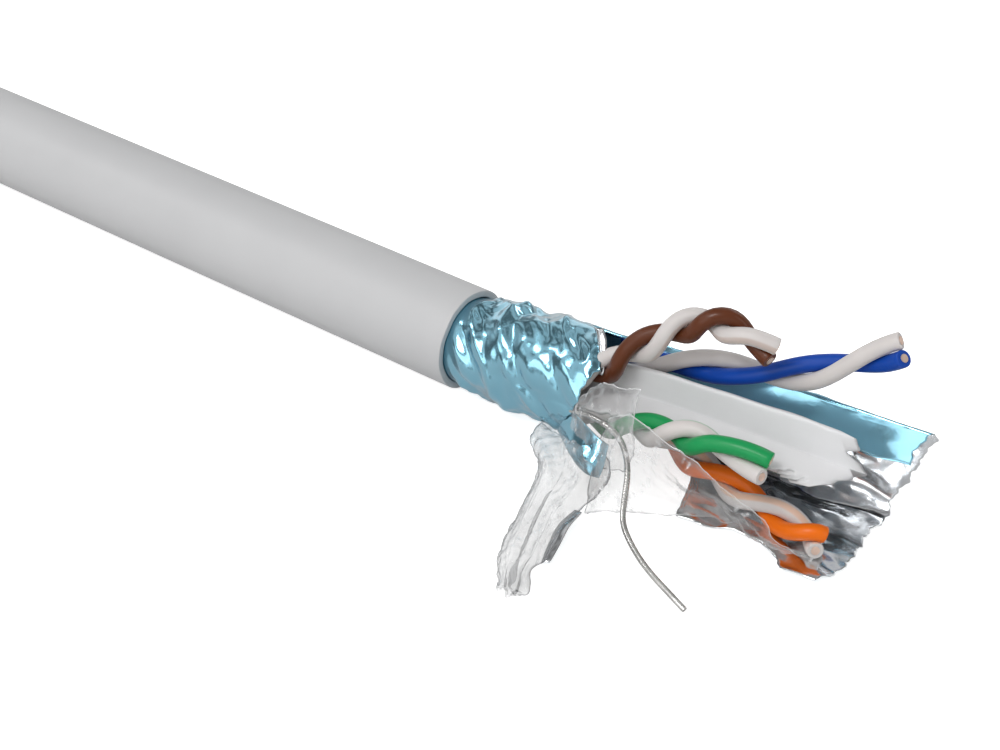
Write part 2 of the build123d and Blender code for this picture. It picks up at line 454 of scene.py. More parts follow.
pairColours = {
    "brown": (0.110, 0.028, 0.008),
    "blue": (0.001, 0.055, 0.370),
    "green": (0.008, 0.300, 0.085),
    "orange": (0.860, 0.160, 0.001),
}
stripeColours = {
    "brown": (0.42, 0.27, 0.20),
    "blue": (0.10, 0.34, 0.62),
    "green": (0.05, 0.42, 0.16),
    "orange": (0.80, 0.36, 0.12),
}
whiteTone = (0.64, 0.605, 0.59)

finishes = {
    "jacket": jacketFinish(),
    "foilOutside": foilFinish("blueFoil", (0.27, 0.58, 0.73, 1.0), 1.0, 0.14),
    "foilInside": foilFinish("silverFoil", (0.78, 0.80, 0.82, 1.0), 0.0, 0.13),
    "film": filmFinish(),
    "separator": separatorFinish(),
    "drain": metalFinish("tinnedWire", (0.74, 0.73, 0.71), 0.20, 7000.0),
    "copper": metalFinish("bareCopper", (0.93, 0.70, 0.58), 0.34, 9000.0),
}
for colourName, colour in pairColours.items():
    finishes[colourName] = wireFinish(f"{colourName}Insulation", colour, None, 0.05)
    finishes[f"white_{colourName}"] = wireFinish(
        f"white{colourName.title()}Insulation", whiteTone, stripeColours[colourName], 0.30)
print("finishes are made")


# Twisted pairs

wireSettings = {
    "radius": 0.57 * mm,
    "sides": 20,
    "copperRadius": 0.285 * mm,
    "copperSides": 14,
    "copperProud": 0.05 * mm,    # how far the copper stands out of the cut insulation
    "step": 0.30 * mm,
    "twistRadius": 0.58 * mm,    # from the pair's middle to a wire's middle
    "cutRounding": 0.05 * mm,
    "cutGirth": 0.93,            # the insulation's width at its cut ends, as a share
    "blendSteps": 9,             # how many steps smooth a change of lay
}


def shielded(y, z, end=shieldEnd):
    # The straight part of a route, from the tail cut to where it leaves the shield
    return [(-0.1000, y, z), (0.0055, y, z), (end, y, z)]


# Each route starts at the tail cut. The twist is left-handed, as (distance along the route, turns)
# near the free end, and an even lay from there to the tail.
pairs = {
    "brown": {
        "route": [*shielded(-0.001335, 0.001335, 0.0085), (0.0110, -0.0011, 0.0021),
                  (0.0132, -0.0007, 0.0045), (0.0160, -0.0001, 0.0071), (0.0187, 0.0007, 0.0092),
                  (0.0214, 0.0009, 0.0089), (0.0234, 0.0010, 0.0082)],
        "lay": 7.0 * mm,
        "twist": [(0.11454, 0.46), (0.11851, -0.06), (0.12156, -0.58), (0.12431, -1.11),
                  (0.12637, -1.27)],
    },
    "blue": {
        "route": [*shielded(0.001335, 0.001335), (0.0135, 0.0020, 0.0026), (0.0180, 0.0026, 0.0041),
                  (0.0246, 0.0034, 0.0051), (0.0306, 0.0041, 0.0098)],
        "lay": 12.5 * mm,
        "twist": [(0.11555, 0.91), (0.12244, 0.41), (0.12883, -0.06), (0.13264, -0.35)],
    },
    "green": {
        "route": [*shielded(-0.001335, -0.001335), (0.0145, -0.0020, 0.0002),
                  (0.0194, -0.0032, 0.0024), (0.0225, -0.0034, 0.0032), (0.0260, -0.0035, 0.0030)],
        "lay": 8.0 * mm,
        "twist": [(0.11950, 0.91), (0.12286, 0.39), (0.12688, 0.11)],
    },
    "orange": {
        "route": [*shielded(0.001335, -0.001335), (0.0130, 0.0017, -0.0020),
                  (0.0180, 0.0005, -0.0022), (0.0240, -0.0012, -0.0020),
                  (0.0296, -0.0020, -0.00225)],
        "lay": 8.5 * mm,
        "twist": [(0.12514, 0.87), (0.12910, 0.37), (0.13005, 0.13)],
    },
}


def sleeveTree():
    # A round sleeve along a line of points, scaled by each point's girth, with closed ends
    tree = bpy.data.node_groups.new("sleeveAlongLine", "GeometryNodeTree")
    sockets = (("Line", "Geometry"), ("Radius", "Float"), ("Sides", "Int"), ("Finish", "Material"))
    for name, kind in sockets:
        tree.interface.new_socket(name, in_out="INPUT", socket_type=f"NodeSocket{kind}")
    tree.interface.new_socket("Sleeve", in_out="OUTPUT", socket_type="NodeSocketGeometry")
    graph = Graph(tree)
    given = graph.add("NodeGroupInput")
    line = graph.add("GeometryNodeMeshToCurve", None, {"Mesh": given["Line"]})["Curve"]
    ring = graph.add("GeometryNodeCurvePrimitiveCircle", None, {
        "Resolution": given["Sides"], "Radius": given["Radius"]})["Curve"]
    place = graph.add("GeometryNodeInputPosition")["Position"]
    unit = graph.add("ShaderNodeVectorMath", {"operation": "NORMALIZE"}, {0: place})["Vector"]
    kinds = {"data_type": "FLOAT_VECTOR", "domain": "POINT"}
    marked = graph.add("GeometryNodeStoreNamedAttribute", kinds, {
        "Geometry": ring, "Name": "section", "Value": unit})["Geometry"]
    girth = graph.add("GeometryNodeInputNamedAttribute", {"data_type": "FLOAT"}, {
        "Name": "girth"})["Attribute"]
    sleeve = graph.add("GeometryNodeCurveToMesh", None, {
        "Curve": line, "Profile Curve": marked, "Scale": girth, "Fill Caps": True})["Mesh"]
    smooth = graph.add("GeometryNodeSetShadeSmooth", None, {"Geometry": sleeve})["Geometry"]
    real = graph.add("GeometryNodeRealizeInstances", None, {"Geometry": smooth})["Geometry"]
    done = graph.add("GeometryNodeSetMaterial", None, {
        "Geometry": real, "Material": given["Finish"]})
    graph.add("NodeGroupOutput", None, {"Sleeve": done["Geometry"]})
    return tree


sleeve = sleeveTree()


def makeSleeve(name, line, girth, radius, sides, finish):
    mesh = bpy.data.meshes.new(name)
    steps = [(index, index + 1) for index in range(len(line) - 1)]
    mesh.from_pydata([tuple(point) for point in line], steps, [])
    girths = mesh.attributes.new("girth", "FLOAT", "POINT")
    girths.data.foreach_set("value", girth.astype(np.float32))
    piece = link(bpy.data.objects.new(name, mesh))
    modifier = piece.modifiers.new("sleeve", "NODES")
    modifier.node_group = sleeve
    values = {"Radius": radius, "Sides": sides, "Finish": finish}
    for item in sleeve.interface.items_tree:
        if item.name in values:
            modifier[item.identifier] = values[item.name]
    return applied(piece)


def twistTurns(pair, at):
    # Turns made at each distance along the pair
    places, turns = np.array(pair["twist"]).T
    turned = np.interp(at, places, turns)
    before = at < places[0]
    turned[before] = turns[0] + (places[0] - at[before]) / pair["lay"]
    window = np.hanning(wireSettings["blendSteps"])
    padded = np.pad(turned, len(window) // 2, mode="reflect", reflect_type="odd")
    return np.convolve(padded, window / window.sum(), mode="valid")


def wireLine(line, turns):
    # One wire's middle, wound about the pair's
    tangent = normalised(np.gradient(line, axis=0))
    side = normalised(np.cross((0.0, 0.0, 1.0), tangent))
    lift = np.cross(tangent, side)
    angle = turns * 2 * math.pi
    outward = side * np.cos(angle)[:, None] + lift * np.sin(angle)[:, None]
    return line + outward * wireSettings["twistRadius"]


def lineLength(line):
    return float(np.linalg.norm(np.diff(line, axis=0), axis=1).sum())


def makeWire(wireName, line):
    # Rounded ends on the insulation, and a copper core that stands a little proud of the cuts
    rounding = wireSettings["cutRounding"]
    heads = [normalised(line[0] - line[1]), normalised(line[-1] - line[-2])]
    rings = np.concatenate([
        [line[0] + heads[0] * rounding], line, [line[-1] + heads[1] * rounding]])
    girth = np.ones(len(rings))
    girth[0] = girth[-1] = wireSettings["cutGirth"]
    insulation = makeSleeve(f"{wireName}Sleeve", rings, girth, wireSettings["radius"],
                            wireSettings["sides"], finishes[wireName])
    proud = rounding + wireSettings["copperProud"]
    core = np.concatenate([[line[0] + heads[0] * proud], line[::2], [line[-1] + heads[1] * proud]])
    copper = makeSleeve(f"{wireName}Core", core, np.ones(len(core)), wireSettings["copperRadius"],
                        wireSettings["copperSides"], finishes["copper"])
    slotName = "white" if wireName.startswith("white") else wireName
    for piece, node, slot in ((insulation, "insulation", slotName), (copper, "copper", "copper")):
        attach(piece, "root")
        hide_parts(f"{wireName}_{node}")


def makePairs():
    for colourName, pair in pairs.items():
        route = routeCurve(f"{colourName}Route", pair["route"])
        line, at = evenly(routeLine(route), wireSettings["step"])
        bpy.data.objects.remove(route)
        turns = twistTurns(pair, at)
        for wireName, start in ((colourName, 0.0), (f"white_{colourName}", 0.5)):
            makeWire(wireName, wireLine(line, turns + start))
        print(f"{colourName} pair: axis {at[-1]:.4f} m, {turns[0] - turns[-1]:.1f} turns")


makePairs()


# Drain wire

drainSettings = {
    "radius": 0.20 * mm,
    "route": [*shielded(-0.002922, 0.0), (0.0122, -0.0032, 0.0009),
              (0.0142, -0.0037, 0.0011), (0.0158, -0.0042, 0.0008),
              (0.0171, -0.0054, -0.0001), (0.0179, -0.0070, -0.0012), (0.0186, -0.0083, -0.0020),
              (0.0202, -0.0094, -0.0025), (0.0220, -0.0103, -0.00285), (0.0242, -0.0110, -0.0032),
              (0.0254, -0.0113, -0.00352)],
}


def makeDrainWire():
    drain = routeCurve("drainWire", drainSettings["route"])
    length = lineLength(routeLine(drain))
    drain.data.bevel_depth = drainSettings["radius"]
    drain.data.bevel_resolution = 4
    drain.data.use_fill_caps = True
    drain.data.materials.append(finishes["drain"])
    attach(drain, "root")
    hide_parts("drain_wire")
    print(f"drain wire: {length:.4f} m")


makeDrainWire()


# Jacket

jacketSettings = {
    "outerRadius": 3.742 * mm,
    "innerRadius": 3.242 * mm,
    "edgeRadius": 0.07 * mm,
    "cutWave": 0.07 * mm,       # how far the knife wandered round the cut
    "outOfRound": 0.015 * mm,
    "cutDepth": 1.5 * mm,       # how far back from the cut that reaches
    "sides": 144,
    "stations": 90,
    "innerStations": 30,
}


def makeJacket():
    s = jacketSettings
    edge = s["edgeRadius"]
    outer, inner = s["outerRadius"], s["innerRadius"]
    bends = [(1 - math.cos(turn), math.sin(turn)) for turn in (0.0, 0.52, 1.05, 1.57)]
    tail = -cableLength
    profile = [(tail + edge * (1 - up), outer - edge * back) for back, up in reversed(bends)]
    profile += [(x, outer) for x in np.linspace(tail, 0, s["stations"])[1:-1]]
    profile += [(-edge * (1 - up), outer - edge * back) for back, up in bends]
    profile += [(-edge * (1 - up), inner + edge * back) for back, up in reversed(bends)]
    profile += [(x, inner) for x in np.linspace(0, tail, s["innerStations"])[1:-1]]
    profile += [(tail + edge * (1 - up), inner + edge * back) for back, up in bends]
    profile = np.array(profile)
    angle = np.linspace(0, 2 * math.pi, s["sides"], endpoint=False)
    nearHead = smoothStep(profile[:, 0], -s["cutDepth"], 0.0)[:, None]
    wander = np.sin(angle * 2 + 0.8) * 0.5 + np.sin(angle * 5 + 2.0) * 0.3
    wander = wander + np.sin(angle * 11) * 0.2 - 1.0
    x = profile[:, :1] + nearHead * wander[None] * s["cutWave"]
    wave = np.sin(angle[None] * 2 + profile[:, :1] / (21 * mm))
    wave = wave + np.sin(angle[None] * 3 - profile[:, :1] / (13 * mm))
    radius = profile[:, 1:] + (wave - 2) * 0.5 * s["outOfRound"]
    points = np.stack([x, radius * np.cos(angle), radius * np.sin(angle)], -1)
    rows = len(profile)
    faces = np.array(sheetFaces(rows + 1, s["sides"], closed=True))
    faces = np.where(faces >= rows * s["sides"], faces - rows * s["sides"], faces)[:, ::-1]
    jacket = meshObject("jacketShell", points.reshape(-1, 3), faces.tolist(), [finishes["jacket"]])
    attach(jacket, "root")
    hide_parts("outer_jacket")
    print(f"jacket: {len(jacket.data.polygons)} faces")


makeJacket()


# Separator

separatorSettings = {
    "route": [*shielded(0.0, 0.0), (0.0155, 0.0004, 0.00165), (0.0310, 0.0004, 0.0024)],
    "halfThickness": 0.15 * mm,
    "finLength": 2.40 * mm,
    "fillet": 0.16 * mm,
    "finSteps": 14,
    "step": 0.28 * mm,
    "freeFrom": 10 * mm,         # the fins start to lean here, and do so fully at freeTo
    "freeTo": 14 * mm,
    "tornReach": 5 * mm,         # how far back from the end the tear reaches
    "cutReach": 13 * mm,         # the rear and lower fins are cut back over this length
    "cutDepth": 5.5 * mm,
}


def crossSection():
    # Outline of four fins with small fillets at the middle
    s = separatorSettings
    thin, fillet, length = s["halfThickness"], s["fillet"], s["finLength"]
    along = np.linspace(length, thin + fillet, s["finSteps"])
    along = np.concatenate([along, [thin + fillet * 0.45]])
    across = np.concatenate([np.full(s["finSteps"], thin), [thin + fillet * 0.06]])
    across[0] *= 0.7
    side = [np.stack([along, across], 1), np.stack([across, along], 1)[::-1]]
    quarter = np.concatenate(side)
    outline = []
    for turn in range(4):
        cosine, sine = [(1, 0), (0, 1), (-1, 0), (0, -1)][turn]
        outline.append(quarter @ np.array([[cosine, sine], [-sine, cosine]]))
    return np.concatenate(outline)


def makeSeparator():
    s = separatorSettings
    route = routeCurve("separatorRoute", s["route"])
    line, at = evenly(routeLine(route), s["step"])
    bpy.data.objects.remove(route)
    line = line - headCut
    section = crossSection()
    tangent = normalised(np.gradient(line, axis=0))
    side = normalised(np.cross((0.0, 0.0, 1.0), tangent))
    lift = np.cross(tangent, side)
    y = np.tile(section[:, 0], (len(line), 1))
    z = np.tile(section[:, 1], (len(line), 1))
    free = smoothStep(line[:, 0], s["freeFrom"], s["freeTo"])[:, None]

    # Torn rim of the front fin, a wavy top rim, and fins that lean and ripple a little
    reach = np.clip(-y / s["finLength"], 0, 1)
    x = line[:, :1]
    torn = 0.10 * np.sin(x / (0.9 * mm)) + 0.10 * np.sin(x / (0.37 * mm) + 1)
    torn = torn + 0.07 * np.sin(x / (0.15 * mm))
    torn = torn - 0.28 * smoothStep(x, 22 * mm, 23.5 * mm) * (1 - smoothStep(x, 24 * mm, 26 * mm))
    y = y * (1 + free * (reach > 0.9) * torn * 0.8 * (x > 0))
    top = np.clip(z / s["finLength"], 0, 1)
    waves = 0.015 * np.sin(x / (2.1 * mm)) + 0.01 * np.sin(x / (0.8 * mm))
    z = z * (1 + free * (top > 0.9) * waves)
    y = y + free * top ** 2 * (0.16 * mm * np.sin(x / (3.4 * mm)) + 0.10 * mm)
    z = z + free * reach ** 2 * (0.14 * mm * np.sin(x / (2.9 * mm) + 1.0) - 0.15 * mm)

    # The end is torn, with a notch below the top rim
    height = section[:, 1] / s["finLength"]
    front = np.clip(-section[:, 0] / s["finLength"], 0, 1)
    endShift = -1.0 * mm * smoothStep(height, 0.72, 1.0)
    endShift = endShift - 1.35 * mm * np.exp(-((height - 0.55) / 0.20) ** 2)
    endShift = endShift - 1.9 * mm * front ** 1.3
    endShift = endShift + 0.12 * mm * np.sin(height * 21) + 0.15 * mm * np.sin(front * 17)
    nearEnd = smoothStep(at, at[-1] - s["tornReach"], at[-1])[:, None]
    back = np.clip(section[:, 0] / s["finLength"], 0, 1)
    low = np.clip(-height, 0, 1)
    cutBack = smoothStep(at, at[-1] - s["cutReach"], at[-1])[:, None]
    cutBack = cutBack * (s["cutDepth"] * np.maximum(back, low) ** 0.5)[None]
    shift = nearEnd * endShift[None] - cutBack
    points = (line[:, None] + side[:, None] * y[..., None] + lift[:, None] * z[..., None]
              + tangent[:, None] * shift[..., None])
    rows, columns = points.shape[:2]
    faces = sheetFaces(rows, columns, closed=True)
    faces = [face[::-1] for face in faces]
    faces.append(list(range(columns))[::-1])
    faces.append([(rows - 1) * columns + k for k in range(columns)])
    piece = meshObject("crossSeparator", points.reshape(-1, 3), faces, [finishes["separator"]])
    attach(piece, "root")
    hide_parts("cross_separator")
    print(f"separator: {len(piece.data.polygons)} faces")


makeSeparator()


def netSurface(net, spacing):
    # A smooth surface through a net of places, with rows and columns about one spacing apart
    grid = np.array(net) * mm

    def through(points, count):
        known = np.arange(len(points))
        wanted = np.linspace(0, len(points) - 1, count)
        index = np.clip(wanted.astype(int), 0, len(points) - 2)
        share = (wanted - index)[:, None, None]
        slope = np.gradient(points, known, axis=0)
        first, second = points[index], points[index + 1]
        slopeFirst, slopeSecond = slope[index], slope[index + 1]
        return ((2 * share**3 - 3 * share**2 + 1) * first
                + (share**3 - 2 * share**2 + share) * slopeFirst
                + (3 * share**2 - 2 * share**3) * second + (share**3 - share**2) * slopeSecond)

    rowLength = np.linalg.norm(np.diff(grid, axis=0), axis=-1).sum(0).max()
    columnLength = np.linalg.norm(np.diff(grid, axis=1), axis=-1).sum(1).max()
    grid = through(grid, round(rowLength / spacing) + 1)
    grid = through(grid.transpose(1, 0, 2), round(columnLength / spacing) + 1).transpose(1, 0, 2)
    return grid


# Foil

foilSettings = {
    "radius": 3.175 * mm,
    "thickness": 0.05 * mm,
    "tubeSides": 150,
    "tubeStep": 0.13 * mm,
    "tubeCrumple": 0.64 * mm,
    "foldLie": (0.62, -0.35, -0.70),     # the tube's folds run long in this direction
    # How far the mouth stands open, as (place along the cable, distance) in millimetres
    "flare": [(0.0, 0.0), (3.0, 0.50), (6.0, 0.85), (8.5, 1.25), (10.0, 1.20), (12.0, 0.95)],
    "flareSide": 75,             # degrees from +Y towards +Z
    "flapStep": 0.15 * mm,
    "flapCrumple": 0.40 * mm,
    "hemLean": 0.54,
    "yaw": 5.7,                  # degrees that the flap turns away from the cable
    "wallTop": 3.45 * mm,
    "cornerRadius": 2.17 * mm,
    "hem": 2.3 * mm,
    "hemFold": 8.62 * mm,        # the hem's fold, unrolled
    "foldRadius": 0.14 * mm,
    "flapLength": 23.5 * mm,
    "flapWidth": 16.8 * mm,
    "flapStart": 8.9 * mm,
    "seamAngle": 28,             # degrees, where the flap joins the tube
    "scrapStep": 0.14 * mm,
    "seed": 7,
}
# Mouth of the tube: (angle in degrees from +Y towards +Z, how far out it reaches)
tubeMouth = [(0, 9.7), (40, 9.6), (70, 10.2), (88, 10.8), (104, 11.6), (115, 12.1), (150, 11.5),
             (180, 10.8),
             (200, 10.4), (221, 9.8), (260, 9.3), (300, 9.3), (330, 9.6), (360, 9.7)]
# The flap's front edge and free end, unrolled: 0 where the table sheet meets the rounded corner,
# below 0 towards the front, and about 8.2 at the fold of the hem
flapFront = [(9.0, 4.6), (12.0, 4.2), (14.0, 2.4), (16.5, 0.3), (18.6, -1.6), (19.0, -3.2),
             (19.5, -5.2),
             (19.8, -6.2), (20.6, -6.1), (21.7, -6.0), (22.4, -5.8), (23.4, -5.4), (24.6, -5.4),
             (25.8, -5.7),
             (27.2, -6.4), (28.1, -7.0), (28.6, -7.4), (30.4, -7.5)]
flapEnd = [(-7.5, 30.0), (-5.7, 30.6), (-4.5, 31.1), (-2.2, 30.8), (-0.6, 31.0), (1.0, 31.2),
           (2.4, 31.3),
           (3.5, 31.7), (5.1, 32.2), (5.9, 32.8), (6.8, 32.8), (8.1, 33.3), (8.6, 33.2),
           (9.4, 32.7), (11.2, 32.0)]


# Torn scraps at the tube's mouth and beside the film's leg, as nets of places in millimetres
foilNets = {
    "tab": [
        [(10.3, 0.3, 5.2), (10.6, 0.2, 5.3), (11.0, 0.3, 5.4)],
        [(10.8, -0.1, 4.8), (11.1, -0.3, 4.9), (11.5, -0.1, 5.0)],
        [(11.2, -0.6, 4.3), (11.5, -0.8, 4.4), (11.9, -0.6, 4.5)],
        [(11.6, -1.0, 3.8), (11.9, -1.2, 3.9), (12.1, -1.0, 4.0)],
        [(12.0, -1.5, 3.0), (12.2, -1.6, 3.1), (12.3, -1.5, 3.2)],
    ],
    "tongue": [
        [(10.6, -2.9, 0.5), (10.4, -3.2, -0.3), (9.9, -3.1, -1.2), (9.3, -2.6, -2.1)],
        [(12.0, -3.4, 0.3), (12.1, -4.0, -0.5), (12.0, -4.4, -1.2), (11.9, -4.6, -1.9)],
        [(13.4, -3.9, 0.1), (13.7, -4.6, -0.7), (13.8, -5.2, -1.3), (13.8, -5.6, -1.9)],
        [(14.5, -3.9, -0.3), (14.7, -4.5, -1.0), (14.8, -5.0, -1.6), (14.8, -5.4, -2.0)],
    ],
    "sliver": [
        [(14.7, -7.9, -3.1), (15.1, -8.2, -2.8), (15.5, -8.3, -2.7)],
        [(14.6, -9.6, -3.3), (15.1, -9.9, -2.9), (15.6, -9.8, -2.8)],
        [(15.1, -11.4, -3.4), (15.5, -11.5, -3.0), (16.0, -11.3, -2.9)],
        [(15.8, -13.2, -3.5), (16.0, -13.1, -3.3), (16.3, -12.9, -3.3)],
    ],
}


def interpolated(table, at):
    places, values = np.array(table).T
    return np.interp(at, places * mm, values * mm)


def crumpled(points, seed, size=1.0, fineShare=0.10):
    # Large facets, smaller ones on them, and fine wrinkles in patches
    points = points / size
    large = foldHeight(points, seed, 5.2 * mm, 3.0 * mm, 3, warp=0.55)
    middle = foldHeight(points, seed + 1, 2.3 * mm, 1.3 * mm, 3, warp=0.40)
    fine = foldHeight(points, seed + 2, 0.9 * mm, 0.5 * mm, 3)
    patch = smoothStep(foldHeight(points, seed + 3, 4.0 * mm, 2.6 * mm, 2), 0.1, 0.5)
    return large * 0.66 + middle * 0.24 + fine * patch * fineShare


def flapSection(q):
    # (Y, Z) of the flap's section and its outward normal at unrolled distance q
    s = foilSettings
    radius = s["cornerRadius"]
    wallY = s["radius"] - 0.02 * mm
    cornerY = wallY - radius
    bottom = -jacketRadius + 0.04 * mm
    cornerLength = radius * math.pi / 2
    wallLength = s["wallTop"] - (bottom + radius)
    fold = s["foldRadius"]
    foldLength = fold * math.pi
    turn = np.clip(q / radius, 0, math.pi / 2)
    y = np.where(q < 0, cornerY + q, cornerY + radius * np.sin(turn))
    z = bottom + radius * (1 - np.cos(turn))
    normalY, normalZ = np.sin(turn), -np.cos(turn)
    up = np.clip(q - cornerLength, 0, wallLength)
    z = z + up
    over = np.clip((q - cornerLength - wallLength) / fold, 0, math.pi)
    y = y - fold * (1 - np.cos(over))
    z = z + fold * np.sin(over)
    normalY = np.where(over > 0, np.cos(over), normalY)
    normalZ = np.where(over > 0, np.sin(over), normalZ)
    down = np.clip(q - cornerLength - wallLength - foldLength, 0, None)
    z = z - down
    y = y - down * s["hemLean"]
    return y, z, normalY, normalZ


def tubeSwell(x, angle):
    # The tube's mouth stands open towards its top
    towards = np.clip(np.cos(angle - math.radians(foilSettings["flareSide"])), 0, 1) ** 0.9
    return interpolated(foilSettings["flare"], x) * towards


def tubeGrid():
    s = foilSettings
    angle = np.linspace(0, 2 * math.pi, s["tubeSides"], endpoint=False)
    mouth = interpolated(tubeMouth, np.degrees(angle) * mm)
    ragged = 0.10 * np.sin(angle * 7 + 1) + 0.07 * np.sin(angle * 17)
    ragged = ragged + 0.05 * np.sin(angle * 37 + 2)
    mouth = mouth + ragged * mm
    inside = np.linspace(-cableLength, -1.0 * mm, 28)[:-1]
    outside = np.linspace(-1.0 * mm, 10 * mm, round(11 * mm / s["tubeStep"]))
    share = smoothStep(outside, 2 * mm, 10 * mm)
    x = outside[:, None] + share[:, None] * (mouth[None] - 10 * mm)
    x = np.concatenate([np.repeat(inside[:, None], s["tubeSides"], 1), x])
    around = np.stack([np.cos(angle), np.sin(angle)], -1)
    base = np.concatenate([x[..., None], np.repeat(around[None] * s["radius"], len(x), 0)], -1)
    free = smoothStep(x, 0.0, 1.4 * mm)
    swell = tubeSwell(x, angle[None])
    # Dents stop at the wires inside, except where the tube stands away from them
    lie = normalised(np.array(s["foldLie"]))
    drawn = base - 0.5 * (base @ lie)[..., None] * lie
    dents = crumpled(drawn, s["seed"], 0.95, 0.06) * s["tubeCrumple"] + 0.17 * mm
    dents = np.maximum(dents, -0.05 * mm - 0.8 * swell)
    # The tube is smooth where the flap joins it
    degrees = np.degrees(np.angle(np.exp(1j * angle)))
    seam = 1 - smoothStep(np.abs(degrees - s["seamAngle"]), 38, 60)
    dents = dents * (1 - seam[None] * smoothStep(x, 6.5 * mm, 8.8 * mm))
    radius = s["radius"] + swell + dents * free
    return np.concatenate([x[..., None], around[None] * radius[..., None]], -1)


def flapGrid():
    s = foilSettings
    rows = round(s["flapLength"] / s["flapStep"])
    columns = round(s["flapWidth"] / s["flapStep"])
    a, b = np.meshgrid(np.linspace(0, 1, rows), np.linspace(0, 1, columns), indexing="ij")
    hemEnd = s["hemFold"] + s["hem"]
    roughX = 9.2 * mm + a * 22 * mm
    front = interpolated(flapFront, roughX)
    hemWave = 0.12 * mm * np.sin(roughX / (1.9 * mm))
    hemWave = hemWave + 0.05 * mm * np.sin(roughX / (0.5 * mm))
    q = front + b * (hemEnd + hemWave - front)
    end = interpolated(flapEnd, q)
    ragged = 0.13 * np.sin(q / (0.55 * mm)) + 0.10 * np.sin(q / (0.21 * mm) + 1)
    ragged = ragged + 0.06 * np.sin(q / (0.09 * mm))
    end = end + ragged * mm
    x = s["flapStart"] + a * (end - s["flapStart"])
    flat = np.stack([x, q, np.zeros_like(q)], -1)
    y, z, normalY, normalZ = flapSection(q)
    height = crumpled(flat, s["seed"] + 5, 1.3, 0.05) * (1 - 0.55 * smoothStep(a, 0.86, 1.0))
    # The hem and the wall's top are smoother
    calm = 1 - 0.60 * smoothStep(q, 5.5 * mm, 8.0 * mm)
    lying = 1 - smoothStep(q, -0.5 * mm, 1.0 * mm)
    rise = height * s["flapCrumple"] * calm * smoothStep(a, 0.0, 0.15)
    rise = np.where(lying > 0, rise - lying * (s["flapCrumple"] * 0.75), rise)
    y = y + normalY * rise
    z = z + normalZ * rise
    # Front right corner curls up off the table
    curl = smoothStep(-q, 5.9 * mm, 7.4 * mm) * smoothStep(x, 26.5 * mm, 29 * mm)
    z = z + curl * 0.25 * mm
    # Near the seam the flap still follows the tube's round
    hold = 1 - smoothStep(x, 9.3 * mm, 14.5 * mm)
    angle = z / s["radius"]
    around = y + 0.09 * mm + tubeSwell(x, angle)
    y = y + hold * (around * np.cos(angle) - y)
    z = z + hold * (around * np.sin(angle) - z)
    yaw = math.radians(s["yaw"])
    seamX, seamY = shieldEnd, s["radius"]
    turnedX = seamX + (x - seamX) * math.cos(yaw) - (y - seamY) * math.sin(yaw)
    turnedY = seamY + (x - seamX) * math.sin(yaw) + (y - seamY) * math.cos(yaw)
    z = np.maximum(z, -jacketRadius + 0.06 * mm)
    return np.stack([turnedX, turnedY, z], -1)


def makeFoil():
    s = foilSettings
    tube = tubeGrid()
    flap = flapGrid()
    points = [tube.reshape(-1, 3), flap.reshape(-1, 3)]
    faces = [face[::-1] for face in sheetFaces(*tube.shape[:2], closed=True)]
    faces += [face[::-1] for face in sheetFaces(*flap.shape[:2], start=len(points[0]))]
    for net in foilNets.values():
        scrap = netSurface(net, s["scrapStep"])
        dents = crumpled(scrap, s["seed"] + 9) * 0.25 * mm
        scrap = scrap + dents[..., None] * np.array((0.3, -0.8, 0.3))
        start = sum(len(part) for part in points)
        points.append(scrap.reshape(-1, 3))
        faces += [face[::-1] for face in sheetFaces(*scrap.shape[:2], start=start)]
    foil = meshObject("foilShield", np.concatenate(points), faces,
                      [finishes["foilOutside"], finishes["foilInside"]])
    thicken(foil, s["thickness"], innerSlot=1)
    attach(foil, "root")
    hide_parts("foil_shield")
    print(f"foil: {len(foil.data.polygons)} faces")


makeFoil()


# Clear film

filmSettings = {
    "radius": 3.07 * mm,
    "thickness": 0.025 * mm,
    "tubeSides": 72,
    "tubeEnd": 9.0 * mm,
    "tubeShare": 0.985,          # keeps the tube clear of the foil
    "crumple": 0.42 * mm,
    "doubled": ["leg"],
    "bulge": 0.45 * mm,
    "seed": 21,
    "spacing": 0.16 * mm,
}
